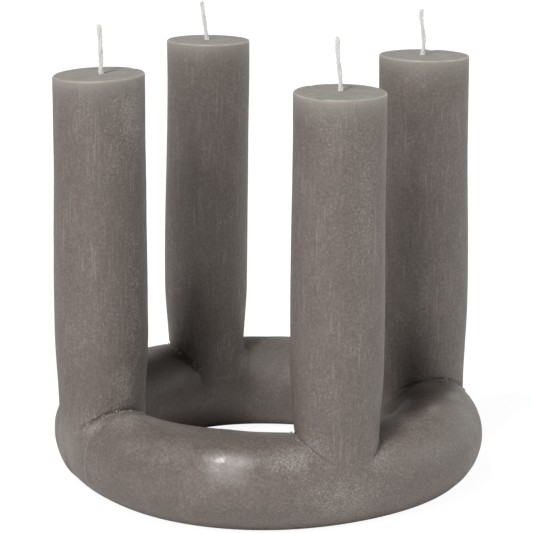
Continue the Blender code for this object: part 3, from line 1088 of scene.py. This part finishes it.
def wax_finish(settings):
    """Satin taupe wax, mottled and grainy, with scratches, pale flecks, painted glow, highlights and shade.
    """
    shade = Shading("wax_satin")
    spot = shade.place()
    names = ("rim", "top", "edge", "crease", "side", "frost", "polish", "matt", "deep")
    rim, top, edge, crease, side, frost, polish, matt, deep = (shade.painted(name) for name in names)

    cloud = shade.noise(spot, 30, detail=2)
    mottle = shade.noise(spot, 7, detail=4, rough=0.6)
    grain = shade.noise(spot, 1.7, detail=3, rough=0.8)
    upright = shade.stretch(spot, (1, 1, 0.05))
    streak = shade.rise(shade.noise(upright, 1.1, detail=3, rough=0.7), 0.50, 0.70)
    streak_patch = shade.rise(shade.noise(shade.stretch(spot, (1, 1, 0.3)), 10, detail=2), 0.42, 0.64)
    swirl = shade.noise(spot, 2.1, detail=2, swirl=2.5)
    hair = 1 - shade.rise(swirl.sum("ABSOLUTE", swirl - 0.5), 0.0, 0.045)
    hair_patch = shade.rise(shade.noise(spot, 9, detail=3), 0.48, 0.62)

    fleck_noise = shade.noise(spot, 1.0, detail=3, rough=0.8)
    fleck_patch = shade.noise(spot, 6, detail=3, rough=0.6)
    fleck = shade.rise(fleck_noise + 0.20 * frost + 0.18 * (fleck_patch - 0.5), 0.61, 0.71)

    scratch = streak * (0.2 + 0.8 * streak_patch) * side * (1 - top)
    rubbed = hair * (0.25 + 0.75 * hair_patch) * (0.3 + 0.7 * frost) * (1 - 0.6 * side)
    pale = (0.34 * scratch + 0.66 * rubbed + 0.56 * fleck + 0.08 * frost).least(0.9)

    depth = shade.rise(0.6 * mottle + 0.4 * cloud, 0.36, 0.62)
    body = shade.mix(depth, rgba(settings.shade), rgba(settings.body))
    body = shade.mix(shade.rise(grain, 0.30, 0.52) * -0.5 + 0.5, body, rgba(settings.pit_and_shade))
    body = shade.mix(shade.rise(grain, 0.48, 0.72) * 0.26, body, rgba(settings.frost))
    # Painted shade: the deep patches darken the wax where shadow falls
    body = shade.mix(deep, body, rgba(settings.pit_and_shade))
    # Painted glow below the tops and in a few patches, standing in for light that seeps through the wax
    body = shade.mix(rim, body, rgba(settings.glow))
    # The tops: partly their own paler wax, partly painted light that the level tops catch
    face = shade.mix(shade.rise(grain, 0.40, 0.66) * 0.5, rgba(settings.top), rgba(settings.body))
    skin = shade.mix(top, body, face)
    skin = shade.mix(pale, skin, rgba(settings.frost))
    # Painted shade in the creases, deeper on the pillar side
    skin = shade.mix(shade.rise(crease, 0.60, 1.0) * (0.12 + 0.5 * side), skin, rgba(settings.pit_and_shade))
    # Painted highlight lines on rims, lips and some creases, broken up by the mottle
    worn = 0.35 + 0.5 * shade.rise(mottle, 0.42, 0.60)
    skin = shade.mix(edge * worn, skin, rgba(settings.edge))

    roughness = 0.43 + 0.10 * pale + 0.12 * shade.rise(mottle, 0.35, 0.65) - 0.15 * polish + 0.22 * matt
    height = 0.10 * grain + 0.20 * mottle * (1 - 0.6 * top) + 0.06 * fleck + 0.03 * scratch + 0.04 * rubbed
    height = height * (1 - 0.6 * polish)
    return shade.finish(
        Base_Color=skin,
        Roughness=roughness,
        Normal=shade.bump(height, 0.9),
        Subsurface_Scale=2.5 * MM,
        **SEEPING,
        IOR=1.44,
        Specular_IOR_Level=0.9,
    )


def crumb_finish(settings):
    """Crumbs of the same wax, paler where they are rubbed."""
    shade = Shading("wax_crumb")
    spot = shade.place()
    grain = shade.noise(spot, 0.5, detail=3, rough=0.7)
    skin = shade.mix(shade.rise(grain, 0.3, 0.6), rgba(settings.body), rgba(settings.frost))
    return shade.finish(
        Base_Color=skin,
        Roughness=0.5,
        Normal=shade.bump(0.08 * grain, 0.8),
        Subsurface_Scale=1.5 * MM,
        **SEEPING,
    )


def cotton_finish(settings):
    """Waxed cotton: long fibres with a slight sheen, and paler where wax has soaked it."""
    shade = Shading("cotton_plait")
    spot = shade.place()
    fibre = shade.noise(shade.stretch(spot, (1, 1, 0.12)), 0.12, detail=3, rough=0.6)
    soaked = shade.painted("soaked")
    patchy = shade.rise(shade.noise(spot, 2.5, detail=2), 0.4, 0.6)
    cotton = shade.mix(soaked.most(0.5 * patchy), rgba(settings.cotton), rgba(settings.waxed))
    # Painted shade between the fibres
    cotton = shade.mix(shade.rise(fibre, 0.35, 0.6) * 0.18, cotton, rgba(settings.hollow))
    return shade.finish(
        Base_Color=cotton,
        Roughness=0.82,
        Normal=shade.bump(0.05 * fibre, 0.8),
        Subsurface_Weight=0.1,
        Subsurface_Radius=(1.0, 1.0, 0.9),
        Subsurface_Scale=0.8 * MM,
        Sheen_Weight=0.2,
    )


def dress(obj, finish, slot, *nodes):
    """Gives a piece its material and its place in the part."""
    obj.data.materials.clear()
    obj.data.materials.append(finish)
    if nodes:
        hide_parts(*nodes)
    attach(obj, "root")


class WREATH_OT_cast_wax(bpy.types.Operator):
    """Casts the ring and its four pillars as one body of wax"""

    bl_idname = "wreath.cast_wax"
    bl_label = "Cast the wax"

    def execute(self, context):
        settings = context.scene.wreath_wax
        dress(make_wax(settings), wax_finish(settings), "wax", "wax_body")
        return {"FINISHED"}


class WREATH_OT_crumbs(bpy.types.Operator):
    """Scatters small crumbs of wax in the creases"""

    bl_idname = "wreath.scatter_crumbs"
    bl_label = "Scatter the crumbs"

    def execute(self, context):
        settings = context.scene.wreath_wax
        wax = bpy.data.objects["cast_wax"]
        dress(scatter_crumbs(wax, settings), crumb_finish(settings), "wax")
        return {"FINISHED"}


class WREATH_OT_wicks(bpy.types.Operator):
    """Plaits the four wicks"""

    bl_idname = "wreath.plait_wicks"
    bl_label = "Plait the wicks"

    def execute(self, context):
        settings = context.scene.wreath_wick
        finish = cotton_finish(settings)
        for pillar, wick in zip(PILLARS, WICKS):
            dress(make_wick(pillar, wick, settings), finish, "cotton_wick", "wick_" + wick.name)
        return {"FINISHED"}


def towards(azimuth, elevation):
    """Unit direction to a light: degrees to the right of the camera's side and degrees above the floor."""
    across = CAMERA_AZIMUTH + math.radians(azimuth)
    up = math.radians(elevation)
    return Vector((math.sin(across) * math.cos(up), -math.cos(across) * math.cos(up), math.sin(up)))


def add_softbox(light, strength):
    """A far soft light: a sun of this width and irradiance."""
    lamp = bpy.data.lights.new(light.name, "SUN")
    lamp.energy = strength * math.pi
    lamp.angle = math.radians(light.width)
    lamp.color = light.tint
    obj = bpy.data.objects.new(light.name, lamp)
    obj.rotation_euler = (-towards(light.azimuth, light.elevation)).to_track_quat("-Z", "Y").to_euler()
    bpy.context.scene.collection.objects.link(obj)


def add_floor(name, height, finish):
    """A wide square of floor."""
    signs = np.array(((-1, -1), (1, -1), (1, 1), (-1, 1)))
    corners = np.column_stack((FLOOR_HALF * signs, np.full(4, height)))
    floor = make_mesh(name, corners, [np.array([[0, 1, 2, 3]])])
    floor.data.materials.append(finish)
    return floor


def floor_finish(name, tint):
    """Matt pale floor with a faint paper tone."""
    shade = Shading(name)
    paper = shade.noise(shade.place(), 400, detail=2)
    tone = shade.mix(paper, rgba(tint), rgba([0.98 * part for part in tint]))
    return shade.finish(
        Base_Color=tone,
        Roughness=0.9,
        Emission_Color=(1.0, 1.0, 1.0, 1.0),
        Specular_IOR_Level=0.0,
    )


def add_camera():
    """The camera at the photograph's angle."""
    lens = bpy.data.cameras.new("camera")
    lens.lens = LENS
    lens.sensor_width = SENSOR
    lens.shift_x, lens.shift_y = SHIFT
    lens.clip_end = 50
    camera = bpy.data.objects.new("camera", lens)
    camera.location = CAMERA_PLACE
    camera.rotation_euler = (math.pi / 2 - CAMERA_PITCH, 0.0, CAMERA_AZIMUTH)
    bpy.context.scene.collection.objects.link(camera)
    bpy.context.scene.camera = camera


class WREATH_OT_stage(bpy.types.Operator):
    """Sets the floor, the soft lights and the camera"""

    bl_idname = "wreath.set_stage"
    bl_label = "Set the stage"

    def execute(self, context):
        settings = context.scene.wreath_stage
        pale = floor_finish("floor_pale", settings.floor)
        seen = add_floor("floor_seen", FLOOR_SEEN, pale)
        for ray in ("diffuse", "glossy", "transmission", "volume_scatter", "shadow"):
            setattr(seen, "visible_" + ray, False)
        pale.node_tree.nodes["Principled BSDF"].inputs["Emission Strength"].default_value = settings.glow
        bounce = add_floor("floor_bounce", FLOOR_BOUNCE, floor_finish("floor_bounce", [settings.bounce] * 3))
        bounce.visible_camera = False
        for light in LIGHTS:
            add_softbox(light, light.share * getattr(settings, light.setting))
        world = bpy.data.worlds.new("surroundings")
        world.use_nodes = True
        back = world.node_tree.nodes["Background"]
        back.inputs["Color"].default_value = (1.0, 1.0, 1.0, 1.0)
        back.inputs["Strength"].default_value = settings.surroundings
        context.scene.world = world
        context.scene.view_settings.view_transform = "Standard"
        context.scene.view_settings.look = "None"
        add_camera()
        return {"FINISHED"}


class WREATH_PT_panel(bpy.types.Panel):
    """Lists the wreath's settings and steps in the 3D view's sidebar"""

    bl_idname = "WREATH_PT_panel"
    bl_label = "Wax advent wreath"
    bl_space_type = "VIEW_3D"
    bl_region_type = "UI"
    bl_category = "Wreath"

    def draw(self, context):
        scene = context.scene
        for settings in (scene.wreath_wax, scene.wreath_wick, scene.wreath_stage):
            box = self.layout.box()
            for name in settings.__annotations__:
                box.prop(settings, name)
        for operator in OPERATORS:
            self.layout.operator(operator.bl_idname)


OPERATORS = (WREATH_OT_stage, WREATH_OT_cast_wax, WREATH_OT_crumbs, WREATH_OT_wicks)
SETTINGS = {"wreath_wax": WaxSettings, "wreath_wick": WickSettings, "wreath_stage": StageSettings}
CLASSES = (*SETTINGS.values(), *OPERATORS, WREATH_PT_panel)


def register():
    """Registers the add-on's classes and hangs the settings on the scene."""
    for made in CLASSES:
        bpy.utils.register_class(made)
    for name, group in SETTINGS.items():
        setattr(bpy.types.Scene, name, bpy.props.PointerProperty(type=group))


def unregister():
    """Takes the settings and the classes away again."""
    for name in SETTINGS:
        delattr(bpy.types.Scene, name)
    for made in reversed(CLASSES):
        bpy.utils.unregister_class(made)


def main():
    """Builds the wreath and its stage."""
    register()
    bpy.ops.wreath.set_stage()
    bpy.ops.wreath.cast_wax()
    bpy.ops.wreath.scatter_crumbs()
    bpy.ops.wreath.plait_wicks()


if __name__ == "__main__":
    main()
